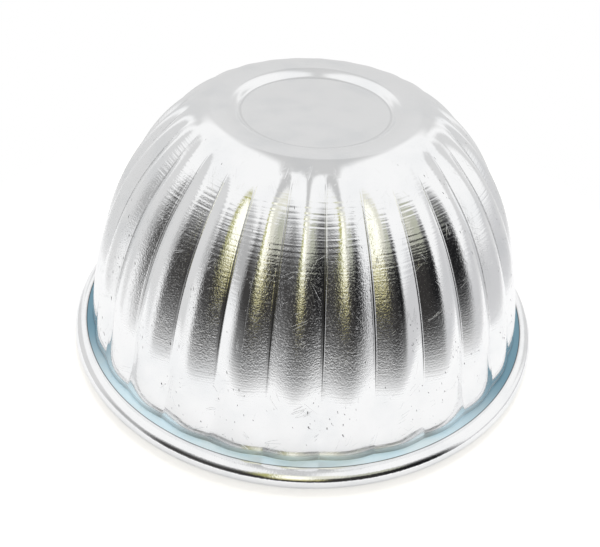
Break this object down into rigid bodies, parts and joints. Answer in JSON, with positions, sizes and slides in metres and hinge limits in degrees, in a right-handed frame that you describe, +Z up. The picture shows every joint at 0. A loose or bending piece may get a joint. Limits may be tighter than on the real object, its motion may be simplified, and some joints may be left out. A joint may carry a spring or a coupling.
{
  "type": "jelly mould",
  "caption": "Pressed aluminium dome mould with fluted wall, recessed flat crown, narrow flange and wired rolled rim; sets and turns out single jellies or puddings.",
  "frame": {"origin": "centre of the plane that the rolled rim stands on", "axes": "+Z up the mould's axis, from the mouth to the crown; X and Y each run through a pair of opposite creases"},
  "size_m": [0.08, 0.08, 0.0405],
  "materials": {
    "bright_aluminium": "bright pressed sheet with fine turning lines, small scratches and pits",
    "galvanised_wire": "drawn wire, hidden in the rolled rim"
  },
  "bodies": {
    "root": {"mould_shell": "bright_aluminium", "rim_wire": "galvanised_wire"}
  },
  "joints": []
}
